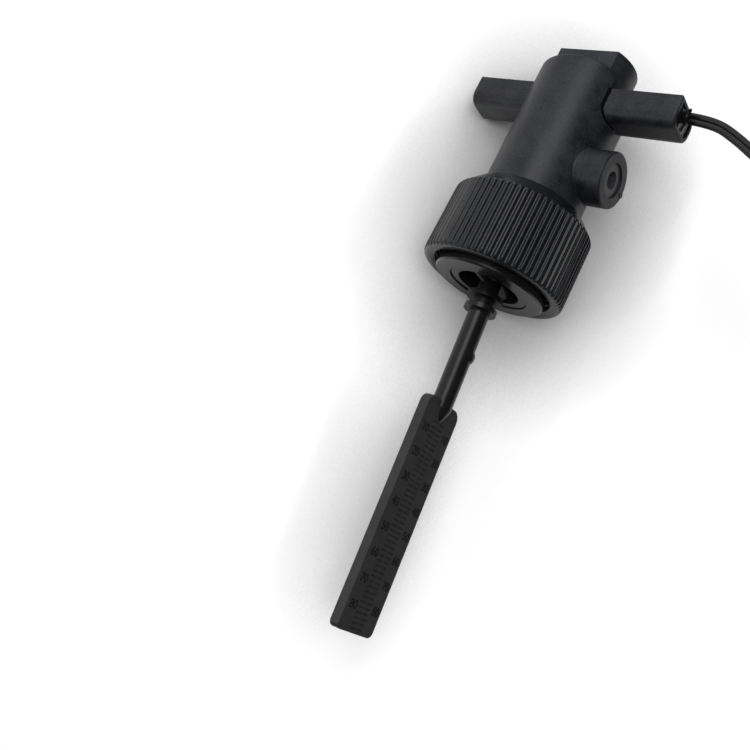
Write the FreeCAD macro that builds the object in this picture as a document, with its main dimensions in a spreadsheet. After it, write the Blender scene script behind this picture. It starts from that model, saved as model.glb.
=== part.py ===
"""Paddle flow switch: a moulded body with a reed switch in its cross tube, a union nut and a hinged paddle.

Frame: millimetres, +Z up along the body's axis, +X along the cross tube towards the lead, -Y to the front.
The origin is the middle of the tail's sealing face, where the switch plugs into its pipe fitting.
"""

import FreeCAD, Part
import math
import os
import re

import Sketcher

Vector = FreeCAD.Vector
FULL_TURN = 360
AXIS_X = Vector(1, 0, 0)
AXIS_Y = Vector(0, 1, 0)
AXIS_Z = Vector(0, 0, 1)
ORIGIN = Vector(0, 0, 0)

SIZES = {
    # switch body
    "body_radius": 20.9,
    "head_step": 3.6,
    "flat_depth": 11.2,
    "rim_rise": 7.5,
    "head_rise": 17.45,
    "shoulder_height": 31.0,
    "shoulder_step": 1.5,
    "spigot_wall": 2.5,
    "chamber_room": 3.4,
    "chamber_roof": 7.0,
    "chamber_bevel": 4.0,
    "edge_round": 0.7,
    "join_round": 0.6,
    # cross tube
    "tube_left": 44.8,
    "tube_right": 48.3,
    "tube_tall": 12.0,
    "tube_deep": 17.0,
    "tube_round": 5.0,
    "tube_wall": 1.8,
    "tube_end_wall": 2.4,
    # side boss and its adjuster
    "boss_radius": 11.1,
    "boss_drop": 6.3,
    "gate_radius": 1.1,
    "gate_inset": 1.4,
    "gate_bearing": -3.0,
    "gate_deep": 1.6,
    "gate_rise": 0.3,
    "pocket_wall": 3.2,
    "pocket_deep": 10.2,
    "pocket_radius": 6.75,
    "key_half": 1.2,
    "key_depth": 1.3,
    "adjuster_gap": 0.08,
    "plug_recess": 0.8,
    "plug_thick": 3.6,
    "socket_mouth_radius": 3.5,
    "socket_mouth_deep": 1.3,
    "socket_flats": 6.0,
    "socket_deep": 2.9,
    "carrier_thick": 2.5,
    "carrier_magnet_radius": 4.5,
    "carrier_magnet_thick": 1.8,
    # tail sleeve and its seal
    "tail_wall": 3.8,
    "tail_chamfer": 0.6,
    "tail_step": 10.0,
    "seal_height": 22.0,
    "seal_depth": 1.5,
    "seal_groove_half": 1.0,
    # pivot ring and pin
    "ring_low": 0.5,
    "ring_gap": 0.3,
    "ring_step": 3.1,
    "ring_wall": 3.3,
    "ring_flange": 2.0,
    "pivot_height": 5.5,
    "pin_radius": 1.5,
    "pin_short": 0.3,
    # lever arm
    "rest_angle": 5.15,
    "barrel_radius": 4.4,
    "barrel_room": 1.4,
    "bush_radius": 2.4,
    "bush_length": 6.0,
    "running_gap": 0.04,
    "pin_room": 0.3,
    "neck_radius": 4.6,
    "collar_thick": 2.0,
    "upper_collar_radius": 7.4,
    "upper_collar_drop": 3.2,
    "collar_spacing": 5.2,
    "lever_foot": 3.0,
    "lever_tip": 1.9,
    "lever_half_width": 3.6,
    "magnet_height": 62.0,
    "magnet_radius": 3.5,
    "magnet_length": 7.0,
    "cup_wall": 1.1,
    "cap_thick": 1.0,
    # paddle
    "tang_radius": 2.4,
    "tang_length": 7.9,
    "lower_collar_radius": 6.7,
    "stem_radius": 4.3,
    "stem_lap": 0.2,
    "stem_taper": 7.2,
    "stem_tip_radius": 1.9,
    "bump_drop": 29.2,
    "bump_radius": 4.0,
    "bump_shift": 1.2,
    "bump_bearing": 35.0,
    "paddle_reach": 142.3,
    "blade_length": 92.5,
    "blade_half_width": 12.05,
    "blade_front": 1.9,
    "blade_thick": 4.2,
    "blade_top_round": 4.0,
    "blade_low_round": 2.6,
    "blade_edge_round": 0.4,
    # union nut
    "nut_low": 2.5,
    "thread_room": 1.8,
    "nut_wall": 4.6,
    "nut_flare": 0.5,
    "nut_rim_bevel": 1.0,
    "nut_mouth": 0.8,
    "nut_lip_gap": 0.5,
    "nut_lip_rim": 1.3,
    "nut_seat_gap": 0.1,
    "nut_shoulder": 1.2,
    "nut_cone_rise": 7.2,
    "nut_rim": 1.9,
    "rib_stop": 0.4,
    "rib_depth": 1.0,
    "rib_groove_root": 0.35,
    "rib_groove_mouth": 0.95,
    "rib_count": 67,
    # reed switch and wiring
    "cradle_half_width": 4.4,
    "cradle_tall": 3.0,
    "glass_radius": 1.4,
    "glass_reach": 8.0,
    "glass_wall": 0.3,
    "glass_end": 1.6,
    "reed_half_width": 0.55,
    "reed_thick": 0.24,
    "reed_gap": 0.12,
    "reed_overlap": 0.8,
    "reed_reach": 21.0,
    "crimp_radius": 1.1,
    "crimp_on_reed": 3.5,
    "crimp_on_wire": 3.0,
    "core_radius": 0.8,
    "wire_turn": 1.9,
    "potting_deep": 9.6,
    "potting_recess": 0.7,
    # lead
    "lead_width": 4.8,
    "lead_exit_y": -1.6,
    "lead_exit_drop": 3.3,
    "coil_radius": 24.0,
    "coil_half_band": 7.2,
    "coil_half_thick": 5.0,
    "coil_round": 2.5,
    "coil_middle_x": 121.0,
    "coil_middle_y": -7.3,
    "coil_middle_z": 31.0,
    "coil_bearing": 125.0,
    "tie_thick": 1.2,
    "tie_half_width": 1.8,
    "tie_angle": 60.0,
    "tip_radius": 0.6,
    "tip_length": 8.0,
    "core_length": 14.0,
    "core_spread": 1.6,
    "split_angle": 180.0,
}

# Sizes that follow from the ones above
DERIVED = {
    "spigot_radius": "body_radius - shoulder_step",
    "chamber_radius": "spigot_radius - spigot_wall",
    "chamber_height": "magnet_height + magnet_radius + cup_wall + chamber_room",
    "head_radius": "body_radius - head_step",
    "tube_low": "chamber_height + chamber_roof",
    "tube_top": "tube_low + tube_tall",
    "rim_height": "tube_top + rim_rise",
    "head_height": "tube_top + head_rise",
    "spigot_low": "tail_step + ring_flange",
    "tail_radius": "spigot_radius + tail_wall",
    "ring_radius": "spigot_radius - ring_step",
    "ring_opening": "ring_radius - ring_wall",
    "boss_height": "magnet_height - boss_drop",
    "pocket_floor": "chamber_radius + pocket_wall",
    "boss_reach": "pocket_floor + pocket_deep",
    "plug_face": "boss_reach - plug_recess",
    "plug_back": "plug_face - plug_thick",
    "carrier_face": "plug_back - adjuster_gap",
    "carrier_back": "carrier_face - carrier_thick",
    "barrel_reach": "ring_opening - barrel_room",
    "upper_collar_high": "-upper_collar_drop",
    "arm_low": "upper_collar_high - collar_spacing",
    "tang_high": "arm_low + tang_length",
    "blade_low": "-paddle_reach",
    "blade_top": "blade_low + blade_length",
    "stem_straight_low": "blade_top - stem_lap",
    "stem_tip_low": "stem_straight_low - stem_taper",
    "nut_bore": "tail_radius + thread_room",
    "nut_radius": "nut_bore + nut_wall",
    "nut_lip_radius": "body_radius + nut_lip_gap",
    "nut_lip_low": "shoulder_height + nut_seat_gap",
    "nut_cone_low": "shoulder_height + nut_shoulder",
    "nut_cone_high": "nut_cone_low + nut_cone_rise",
    "nut_cone_radius": "nut_lip_radius + nut_lip_rim",
    "rib_low": "nut_low + nut_rim",
    "rib_high": "shoulder_height - rib_stop",
    "reed_y": "tube_deep / 2 - flat_depth",
    "cradle_low": "tube_low + tube_wall",
    "reed_z": "cradle_low + cradle_tall",
    "crimp_start": "reed_reach - crimp_on_reed",
    "crimp_end": "reed_reach + crimp_on_wire",
    "potting_face": "tube_right - potting_recess",
    "potting_inner": "potting_face - potting_deep",
    "lead_exit_z": "tube_top - lead_exit_drop",
    "lead_outer_turn": "coil_radius + coil_half_band - lead_width / 2",
}

doc = FreeCAD.newDocument("paddle_flow_switch")
sheet = doc.addObject("Spreadsheet::Sheet", "sizes")
cells = {alias: str(amount) for alias, amount in SIZES.items()}
cells.update({alias: f"={formula}" for alias, formula in DERIVED.items()})
for row, (alias, content) in enumerate(cells.items(), 1):
    sheet.set(f"A{row}", alias)
    sheet.set(f"B{row}", content)
    sheet.setAlias(f"B{row}", alias)
doc.recompute()

nodes = []


def size(alias):
    """The number in a named cell."""
    return float(sheet.get(alias))


def link(text):
    """An expression over the sheet, from plain names and arithmetic."""
    def prefixed(match):
        word = match.group(0)
        return f"sizes.{word}" if word in cells else word

    return re.sub(r"[a-z_]{3,}", prefixed, text)


def put(item, setting, text):
    item.setExpression(setting, link(text))


# Sketch and feature helpers
def new_body(label):
    body = doc.addObject("PartDesign::Body", label)
    body.Label = label
    nodes.append(body)
    return body


def new_sketch(body, name, role, offset="0"):
    sketch = body.newObject("Sketcher::SketchObject", f"{body.Name}_{name}")
    plane = next(item for item in body.Origin.OriginFeatures if item.Role == role)
    sketch.AttachmentSupport = [(plane, "")]
    sketch.MapMode = "FlatFace"
    put(sketch, "AttachmentOffset.Base.z", offset)
    return sketch


def fix_point(sketch, geometry, end, across, up):
    """Tie a point of the sketch to two expressions, measured from the sketch's origin."""
    for kind, text in (("DistanceX", across), ("DistanceY", up)):
        index = sketch.addConstraint(Sketcher.Constraint(kind, -1, 1, geometry, end, 1.0))
        put(sketch, f"Constraints[{index}]", text)


def outline(sketch, corners):
    """A closed outline of straight sides through corners given as pairs of expressions."""
    count = len(corners)
    first = sketch.GeometryCount
    step = 2 * math.pi / count
    start = [Vector(math.cos(step * index), math.sin(step * index), 0) for index in range(count)]
    for index in range(count):
        sketch.addGeometry(Part.LineSegment(start[index], start[(index + 1) % count]), False)
    for index in range(count):
        after = first + (index + 1) % count
        sketch.addConstraint(Sketcher.Constraint("Coincident", first + index, 2, after, 1))
    for index, (across, up) in enumerate(corners):
        fix_point(sketch, first + index, 1, across, up)


def rectangle(sketch, left, low, right, high):
    outline(sketch, [(left, low), (right, low), (right, high), (left, high)])


def circle(sketch, across, up, radius):
    geometry = sketch.addGeometry(Part.Circle(ORIGIN, AXIS_Z, 1.0), False)
    fix_point(sketch, geometry, 3, across, up)
    index = sketch.addConstraint(Sketcher.Constraint("Radius", geometry, 1.0))
    put(sketch, f"Constraints[{index}]", radius)


def segment(sketch, radius, depth, front):
    """A circle's segment cut by the chord at y = -depth: the part in front of it or behind it."""
    lean = math.asin(size(depth) / size(radius))
    ends = (math.pi + lean, 2 * math.pi - lean) if front else (-lean, math.pi + lean)
    arc = Part.ArcOfCircle(Part.Circle(ORIGIN, AXIS_Z, size(radius)), *ends)
    sketch.addGeometry(arc, False)
    sketch.addGeometry(Part.LineSegment(arc.EndPoint, arc.StartPoint), False)
    sketch.addConstraint(Sketcher.Constraint("Coincident", 0, 3, -1, 1))
    sketch.addConstraint(Sketcher.Constraint("Coincident", 0, 2, 1, 1))
    sketch.addConstraint(Sketcher.Constraint("Coincident", 0, 1, 1, 2))
    sketch.addConstraint(Sketcher.Constraint("Horizontal", 1))
    index = sketch.addConstraint(Sketcher.Constraint("Radius", 0, size(radius)))
    put(sketch, f"Constraints[{index}]", radius)
    index = sketch.addConstraint(Sketcher.Constraint("DistanceY", -1, 1, 1, 1, -size(depth)))
    put(sketch, f"Constraints[{index}]", f"-{depth}")


def feature(body, kind, sketch, name):
    item = body.newObject(f"PartDesign::{kind}", f"{body.Name}_{name}")
    item.Profile = sketch
    return item


def pad(body, sketch, name, length, both_ways=False):
    item = feature(body, "Pad", sketch, name)
    item.Midplane = both_ways
    put(item, "Length", length)
    doc.recompute()
    return item


def pocket(body, sketch, name, length, along_normal=False, both_ways=False):
    """Cut against the sketch's normal, or along it; the cut has to take material away."""
    before = body.Shape.Volume
    item = feature(body, "Pocket", sketch, name)
    item.Midplane = both_ways
    item.Reversed = along_normal
    put(item, "Length", length)
    doc.recompute()
    if body.Shape.Volume >= before:
        raise RuntimeError(f"{item.Name} cuts nothing")
    return item


def turn(body, name, corners, kind="Revolution", role="XZ_Plane", axis="V_Axis"):
    """Revolve an outline about a sketch axis, to add it or, as a Groove, to cut it."""
    sketch = new_sketch(body, f"{name}_profile", role)
    outline(sketch, corners)
    item = feature(body, kind, sketch, name)
    item.ReferenceAxis = (sketch, [axis])
    item.Angle = FULL_TURN
    doc.recompute()
    return item


def round_edges(body, name, base, radius, wanted):
    """Fillet the edges of the feature that the wanted test picks."""
    names = [f"Edge{index}" for index, edge in enumerate(base.Shape.Edges, 1) if wanted(edge)]
    item = body.newObject("PartDesign::Fillet", f"{body.Name}_{name}")
    item.Base = (base, names)
    put(item, "Radius", radius)
    doc.recompute()
    return item


def runs_along(edge, axis):
    """True for a straight edge parallel to the axis."""
    if not isinstance(edge.Curve, Part.Line):
        return False
    return abs(edge.tangentAt(edge.FirstParameter).dot(axis)) > 0.999


def middle(edge):
    return edge.BoundBox.Center


def lies_in(edge, axis, place):
    """True for an edge that lies flat in the plane at this place along the axis."""
    ends = [vertex.Point.dot(axis) for vertex in edge.Vertexes] + [middle(edge).dot(axis)]
    return all(abs(end - place) < 0.01 for end in ends)


def swung(body):
    """Hang a piece of the paddle at its rest angle, turned about the pivot."""
    pivot = Vector(0, 0, size("pivot_height"))
    body.Placement = FreeCAD.Placement(ORIGIN, FreeCAD.Rotation(AXIS_Y, -size("rest_angle")), pivot)


# Switch body: tube, chamber, head and boss in one moulding
def tube_section(sketch, inset):
    front = f"-flat_depth + {inset}"
    rear = f"tube_deep - flat_depth - {inset}"
    rectangle(sketch, front, f"tube_low + {inset}", rear, f"tube_top - {inset}")


def round_tube(body, name, base, radius, inset):
    """Round the tube's long edges, apart from the sharp one at the front of its top."""
    front = -size("flat_depth") + inset
    high = size("tube_top") - inset
    low = size("tube_low") + inset
    rear = front + size("tube_deep") - 2 * inset
    spots = [(front, low), (rear, low), (rear, high)]

    def wanted(edge):
        spot = middle(edge)
        near = any(math.hypot(spot.y - y, spot.z - z) < 0.01 for y, z in spots)
        return runs_along(edge, AXIS_X) and near

    return round_edges(body, name, base, radius, wanted)


def make_switch_body():
    body = new_body("switch_body")
    sketch = new_sketch(body, "tube_section", "YZ_Plane", "-tube_left")
    tube_section(sketch, "0")
    tube = pad(body, sketch, "tube", "tube_left + tube_right")
    tube = round_tube(body, "tube_rounds", tube, "tube_round", 0.0)

    groove_floor = "spigot_radius - seal_depth"
    turn(body, "chamber_wall", [
        ("0", "spigot_low"),
        ("spigot_radius", "spigot_low"),
        ("spigot_radius", "seal_height - seal_groove_half"),
        (groove_floor, "seal_height - seal_groove_half"),
        (groove_floor, "seal_height + seal_groove_half"),
        ("spigot_radius", "seal_height + seal_groove_half"),
        ("spigot_radius", "shoulder_height"),
        ("body_radius", "shoulder_height"),
        ("body_radius", "tube_top"),
        ("0", "tube_top"),
    ])
    sketch = new_sketch(body, "front_segment", "XY_Plane", "tube_top")
    segment(sketch, "body_radius", "flat_depth", True)
    pad(body, sketch, "front_shell", "rim_height - tube_top")
    sketch = new_sketch(body, "head_segment", "XY_Plane", "tube_top")
    segment(sketch, "head_radius", "flat_depth", False)
    pad(body, sketch, "head", "head_height - tube_top")

    sketch = new_sketch(body, "boss_circle", "YZ_Plane")
    circle(sketch, "0", "boss_height", "boss_radius")
    pad(body, sketch, "boss", "boss_reach")

    turn(body, "chamber", [
        ("0", "spigot_low"),
        ("chamber_radius", "spigot_low"),
        ("chamber_radius", "chamber_height - chamber_bevel"),
        ("chamber_radius - chamber_bevel", "chamber_height"),
        ("0", "chamber_height"),
    ], kind="Groove")
    sketch = new_sketch(body, "reed_bore_section", "YZ_Plane", "tube_right")
    tube_section(sketch, "tube_wall")
    bore = pocket(body, sketch, "reed_bore", "tube_right + tube_left - tube_end_wall")
    round_tube(body, "bore_rounds", bore, "tube_round - tube_wall", size("tube_wall"))
    sketch = new_sketch(body, "pocket_circle", "YZ_Plane", "boss_reach")
    circle(sketch, "0", "boss_height", "pocket_radius")
    pocket(body, sketch, "adjuster_pocket", "boss_reach - pocket_floor")
    sketch = new_sketch(body, "keyway_section", "YZ_Plane", "pocket_floor")
    rectangle(sketch, "-key_half", "boss_height", "key_half", "boss_height + pocket_radius + key_depth")
    keyway = pocket(body, sketch, "keyway", "plug_back - pocket_floor", along_normal=True)
    joins = round_edges(body, "join_rounds", keyway, "join_round", on_join)
    round_edges(body, "edge_rounds", joins, "edge_round", on_outer_rim)
    sketch = new_sketch(body, "gate_circle", "YZ_Plane", "boss_reach - gate_deep")
    rim = "(boss_radius - gate_inset)"
    circle(sketch, f"{rim} * cos(gate_bearing)", f"boss_height + {rim} * sin(gate_bearing)", "gate_radius")
    pad(body, sketch, "gate_nub", "gate_deep + gate_rise")


def on_join(edge):
    """True for the edges where the tube and the boss grow out of the round body."""
    points = edge.discretize(5)
    round_wall = all(abs(math.hypot(point.x, point.y) - size("body_radius")) < 0.01 for point in points)
    upright = math.hypot(points[0].x - points[2].x, points[0].y - points[2].y) < 0.01
    height = middle(edge).z
    between_ends = size("shoulder_height") + 1 < height < size("tube_top") - 1
    return round_wall and between_ends and not upright


def on_outer_rim(edge):
    """True for the outer edges of the head's top, the tube's two ends and the boss's end."""
    spot = middle(edge)
    curved = isinstance(edge.Curve, Part.Circle)
    if lies_in(edge, AXIS_Z, size("head_height")):
        return True
    if lies_in(edge, AXIS_Z, size("rim_height")):
        return curved and abs(edge.Curve.Radius - size("body_radius")) < 0.01
    if lies_in(edge, AXIS_X, size("boss_reach")):
        return curved and abs(edge.Curve.Radius - size("boss_radius")) < 0.01
    if lies_in(edge, AXIS_X, -size("tube_left")):
        return True
    if not lies_in(edge, AXIS_X, size("tube_right")):
        return False
    if curved:
        return abs(edge.Curve.Radius - size("tube_round")) < 0.01
    front = -size("flat_depth")
    low = size("tube_low")
    at_side = any(abs(spot.y - y) < 0.01 for y in (front, front + size("tube_deep")))
    return at_side or any(abs(spot.z - z) < 0.01 for z in (low, size("tube_top")))


# Tail sleeve, its seal, pivot ring and pin
def make_tail_sleeve():
    turn(new_body("tail_sleeve"), "sleeve", [
        ("ring_radius + ring_gap", "0"),
        ("tail_radius - tail_chamfer", "0"),
        ("tail_radius", "tail_chamfer"),
        ("tail_radius", "shoulder_height"),
        ("spigot_radius", "shoulder_height"),
        ("spigot_radius", "tail_step"),
        ("ring_radius + ring_gap", "tail_step"),
    ])


def make_tail_seal():
    body = new_body("tail_seal")
    sketch = new_sketch(body, "section", "XZ_Plane")
    circle(sketch, "spigot_radius - seal_depth / 2", "seal_height", "seal_depth / 2")
    ring = feature(body, "Revolution", sketch, "ring")
    ring.ReferenceAxis = (sketch, ["V_Axis"])
    ring.Angle = FULL_TURN


def make_pivot_ring():
    body = new_body("pivot_ring")
    turn(body, "ring", [
        ("ring_opening", "ring_low"),
        ("ring_radius", "ring_low"),
        ("ring_radius", "tail_step"),
        ("spigot_radius", "tail_step"),
        ("spigot_radius", "spigot_low"),
        ("ring_opening", "spigot_low"),
    ])
    sketch = new_sketch(body, "pin_circle", "XZ_Plane")
    circle(sketch, "0", "pivot_height", "pin_radius")
    pocket(body, sketch, "pin_holes", "4 * ring_radius", both_ways=True)


def make_pivot_pin():
    body = new_body("pivot_pin")
    sketch = new_sketch(body, "circle", "XZ_Plane")
    circle(sketch, "0", "pivot_height", "pin_radius")
    pad(body, sketch, "pin", "2 * (ring_radius - pin_short)", both_ways=True)


# Lever arm, bushes and drive magnet
def make_lever_arm():
    body = new_body("lever_arm")
    sketch = new_sketch(body, "barrel_circle", "XZ_Plane")
    circle(sketch, "0", "pivot_height", "barrel_radius")
    pad(body, sketch, "barrel", "2 * barrel_reach", both_ways=True)
    collar_low = "upper_collar_high - collar_thick"
    turn(body, "neck", [
        ("0", "pivot_height"),
        ("stem_radius", "pivot_height"),
        ("stem_radius", "upper_collar_high"),
        ("upper_collar_radius", "upper_collar_high"),
        ("upper_collar_radius", collar_low),
        ("neck_radius", collar_low),
        ("neck_radius", "arm_low"),
        ("0", "arm_low"),
    ])
    sketch = new_sketch(body, "lever_side", "XZ_Plane")
    outline(sketch, [
        ("-lever_foot", "pivot_height"),
        ("lever_foot", "pivot_height"),
        ("lever_tip", "magnet_height"),
        ("-lever_tip", "magnet_height"),
    ])
    pad(body, sketch, "lever", "2 * lever_half_width", both_ways=True)
    cup_length = "magnet_length + cup_wall"
    sketch = new_sketch(body, "cup_circle", "YZ_Plane", f"-({cup_length} + cap_thick) / 2")
    circle(sketch, "0", "magnet_height", "magnet_radius + cup_wall")
    pad(body, sketch, "cup", cup_length)
    sketch = new_sketch(body, "magnet_circle", "YZ_Plane", f"({cup_length} - cap_thick) / 2")
    circle(sketch, "0", "magnet_height", "magnet_radius")
    pocket(body, sketch, "magnet_seat", "magnet_length")
    sketch = new_sketch(body, "pin_bore_circle", "XZ_Plane")
    circle(sketch, "0", "pivot_height", "pin_radius + pin_room")
    pocket(body, sketch, "pin_bore", "4 * barrel_reach", both_ways=True)
    for name, place, forward in (("front", "barrel_reach", False), ("rear", "-barrel_reach", True)):
        sketch = new_sketch(body, f"{name}_seat_circle", "XZ_Plane", place)
        circle(sketch, "0", "pivot_height", "bush_radius")
        pocket(body, sketch, f"{name}_bush_seat", "bush_length", along_normal=forward)
    sketch = new_sketch(body, "tang_circle", "XY_Plane", "arm_low")
    circle(sketch, "0", "0", "tang_radius")
    pocket(body, sketch, "tang_socket", "tang_high - arm_low", along_normal=True)
    swung(body)


def make_bush(label, place, along_normal):
    body = new_body(label)
    sketch = new_sketch(body, "ring", "XZ_Plane", place)
    circle(sketch, "0", "pivot_height", "bush_radius")
    circle(sketch, "0", "pivot_height", "pin_radius + running_gap")
    bush = pad(body, sketch, "bush", "bush_length")
    bush.Reversed = not along_normal
    swung(body)


def make_drive_magnet():
    body = new_body("drive_magnet")
    sketch = new_sketch(body, "circle", "YZ_Plane", "(cup_wall - cap_thick - magnet_length) / 2")
    circle(sketch, "0", "magnet_height", "magnet_radius")
    pad(body, sketch, "magnet", "magnet_length")
    swung(body)


def make_magnet_cap():
    body = new_body("magnet_cap")
    sketch = new_sketch(body, "circle", "YZ_Plane", "(magnet_length + cup_wall - cap_thick) / 2")
    circle(sketch, "0", "magnet_height", "magnet_radius + cup_wall")
    pad(body, sketch, "cap", "cap_thick")
    swung(body)


# Paddle: tang, collar, stem and blade in one moulding
def make_paddle():
    body = new_body("paddle")
    sketch = new_sketch(body, "blade_outline", "YZ_Plane", "blade_front - blade_thick")
    rectangle(sketch, "-blade_half_width", "blade_low", "blade_half_width", "blade_top")
    blade = pad(body, sketch, "blade", "blade_thick")
    for name in ("top", "low"):
        height = size(f"blade_{name}")
        blade = round_edges(
            body, f"{name}_corners", blade, f"blade_{name}_round",
            lambda edge: runs_along(edge, AXIS_X) and abs(middle(edge).z - height) < 0.01,
        )
    front = size("blade_front")
    faces = (front, front - size("blade_thick"))
    round_edges(
        body, "blade_edges", blade, "blade_edge_round",
        lambda edge: any(lies_in(edge, AXIS_X, face) for face in faces),
    )
    collar_low = "arm_low - collar_thick"
    turn(body, "stem", [
        ("0", "tang_high"),
        ("tang_radius", "tang_high"),
        ("tang_radius", "arm_low"),
        ("lower_collar_radius", "arm_low"),
        ("lower_collar_radius", collar_low),
        ("stem_radius", collar_low),
        ("stem_radius", "stem_straight_low"),
        ("stem_tip_radius", "stem_tip_low"),
        ("0", "stem_tip_low"),
    ])
    bump = body.newObject("PartDesign::AdditiveSphere", "paddle_bump")
    put(bump, "Radius", "bump_radius")
    put(bump, "AttachmentOffset.Base.x", "bump_shift * cos(bump_bearing)")
    put(bump, "AttachmentOffset.Base.y", "bump_shift * sin(bump_bearing)")
    put(bump, "AttachmentOffset.Base.z", "-bump_drop")
    plane = next(item for item in body.Origin.OriginFeatures if item.Role == "XY_Plane")
    bump.AttachmentSupport = [(plane, "")]
    bump.MapMode = "FlatFace"
    doc.recompute()
    swung(body)


# Union nut
def make_union_nut():
    body = new_body("union_nut")
    turn(body, "shell", [
        ("nut_bore + nut_mouth", "nut_low"),
        ("nut_radius + nut_flare - nut_rim_bevel", "nut_low"),
        ("nut_radius + nut_flare", "nut_low + nut_rim_bevel"),
        ("nut_radius", "nut_cone_low"),
        ("nut_cone_radius", "nut_cone_high"),
        ("nut_lip_radius", "nut_cone_high"),
        ("nut_lip_radius", "nut_lip_low"),
        ("nut_bore", "nut_lip_low"),
        ("nut_bore", "nut_low + nut_mouth"),
    ])
    sketch = new_sketch(body, "groove_section", "XY_Plane", "rib_low")
    root = "nut_radius - rib_depth"
    mouth = "nut_radius + rib_depth"
    outline(sketch, [
        (root, "-rib_groove_root"),
        (mouth, "-2 * rib_groove_mouth + rib_groove_root"),
        (mouth, "2 * rib_groove_mouth - rib_groove_root"),
        (root, "rib_groove_root"),
    ])
    groove = pocket(body, sketch, "groove", "rib_high - rib_low", along_normal=True)
    grooves = body.newObject("PartDesign::PolarPattern", "union_nut_grooves")
    grooves.Originals = [groove]
    grooves.Axis = (sketch, ["N_Axis"])
    grooves.Angle = FULL_TURN
    put(grooves, "Occurrences", "rib_count")
    body.Tip = grooves
    doc.recompute()


# Sensitivity adjuster in the side boss
def make_adjuster_plug():
    body = new_body("adjuster_plug")
    sketch = new_sketch(body, "circle", "YZ_Plane", "plug_back")
    circle(sketch, "0", "boss_height", "pocket_radius - adjuster_gap")
    pad(body, sketch, "disc", "plug_thick")
    sketch = new_sketch(body, "mouth_circle", "YZ_Plane", "plug_face")
    circle(sketch, "0", "boss_height", "socket_mouth_radius")
    pocket(body, sketch, "mouth", "socket_mouth_deep")
    sketch = new_sketch(body, "hexagon", "YZ_Plane", "plug_face")
    corner = "socket_flats / sqrt(3)"
    half = f"({corner}) / 2"
    flat = "socket_flats / 2"
    outline(sketch, [
        (corner, "boss_height"),
        (half, f"boss_height + {flat}"),
        (f"-{half}", f"boss_height + {flat}"),
        (f"-{corner}", "boss_height"),
        (f"-{half}", f"boss_height - {flat}"),
        (half, f"boss_height - {flat}"),
    ])
    pocket(body, sketch, "socket", "socket_deep")


def make_magnet_carrier():
    body = new_body("magnet_carrier")
    sketch = new_sketch(body, "circle", "YZ_Plane", "carrier_back")
    circle(sketch, "0", "boss_height", "pocket_radius - adjuster_gap")
    pad(body, sketch, "disc", "carrier_thick")
    sketch = new_sketch(body, "key_section", "YZ_Plane", "carrier_back")
    key_half = "key_half - adjuster_gap"
    key_top = "boss_height + pocket_radius + key_depth - adjuster_gap"
    rectangle(sketch, f"-({key_half})", "boss_height", key_half, key_top)
    pad(body, sketch, "key", "carrier_thick")
    sketch = new_sketch(body, "seat_circle", "YZ_Plane", "carrier_back")
    circle(sketch, "0", "boss_height", "carrier_magnet_radius")
    pocket(body, sketch, "magnet_seat", "carrier_magnet_thick", along_normal=True)


def make_return_magnet():
    body = new_body("return_magnet")
    sketch = new_sketch(body, "circle", "YZ_Plane", "carrier_back")
    circle(sketch, "0", "boss_height", "carrier_magnet_radius")
    pad(body, sketch, "magnet", "carrier_magnet_thick")


# Reed switch in the cross tube
def make_reed_cradle():
    body = new_body("reed_cradle")
    sketch = new_sketch(body, "section", "YZ_Plane")
    rectangle(sketch, "reed_y - cradle_half_width", "cradle_low", "reed_y + cradle_half_width", "reed_z")
    pad(body, sketch, "tray", "2 * crimp_end", both_ways=True)
    sketch = new_sketch(body, "trough_circle", "YZ_Plane")
    circle(sketch, "reed_y", "reed_z", "glass_radius")
    pocket(body, sketch, "trough", "4 * crimp_end", both_ways=True)


def reed_slot(sketch, level):
    low = f"reed_z {level}"
    rectangle(sketch, "reed_y - reed_half_width", low, "reed_y + reed_half_width", f"{low} + reed_thick")


UPPER_REED = "+ reed_gap / 2"
LOWER_REED = "- reed_gap / 2 - reed_thick"


def make_reed_glass():
    body = new_body("reed_glass")
    sketch = new_sketch(body, "outside", "YZ_Plane")
    circle(sketch, "reed_y", "reed_z", "glass_radius")
    pad(body, sketch, "capsule", "2 * glass_reach", both_ways=True)
    sketch = new_sketch(body, "inside", "YZ_Plane")
    circle(sketch, "reed_y", "reed_z", "glass_radius - glass_wall")
    pocket(body, sketch, "cavity", "2 * (glass_reach - glass_end)", both_ways=True)
    for name, level, outward in (("left", UPPER_REED, False), ("right", LOWER_REED, True)):
        sketch = new_sketch(body, f"{name}_slot", "YZ_Plane")
        reed_slot(sketch, level)
        pocket(body, sketch, f"{name}_seal", "2 * glass_reach", along_normal=outward)


def make_reed_blade(label, level, to_left):
    body = new_body(label)
    start = "-reed_reach" if to_left else "-reed_overlap"
    sketch = new_sketch(body, "section", "YZ_Plane", start)
    reed_slot(sketch, level)
    pad(body, sketch, "strip", "reed_reach + reed_overlap")


def make_crimp(label, level, to_left):
    """A crimp sleeve: one end takes the reed's strip and the other the wire."""
    body = new_body(label)
    start = "-crimp_end" if to_left else "crimp_start"
    sketch = new_sketch(body, "circle", "YZ_Plane", start)
    circle(sketch, "reed_y", "reed_z", "crimp_radius")
    pad(body, sketch, "sleeve", "crimp_end - crimp_start")
    inner = "-reed_reach" if to_left else "reed_reach"
    sketch = new_sketch(body, "slot", "YZ_Plane", inner)
    reed_slot(sketch, level)
    pocket(body, sketch, "strip_slot", "reed_reach", along_normal=to_left)


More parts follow.
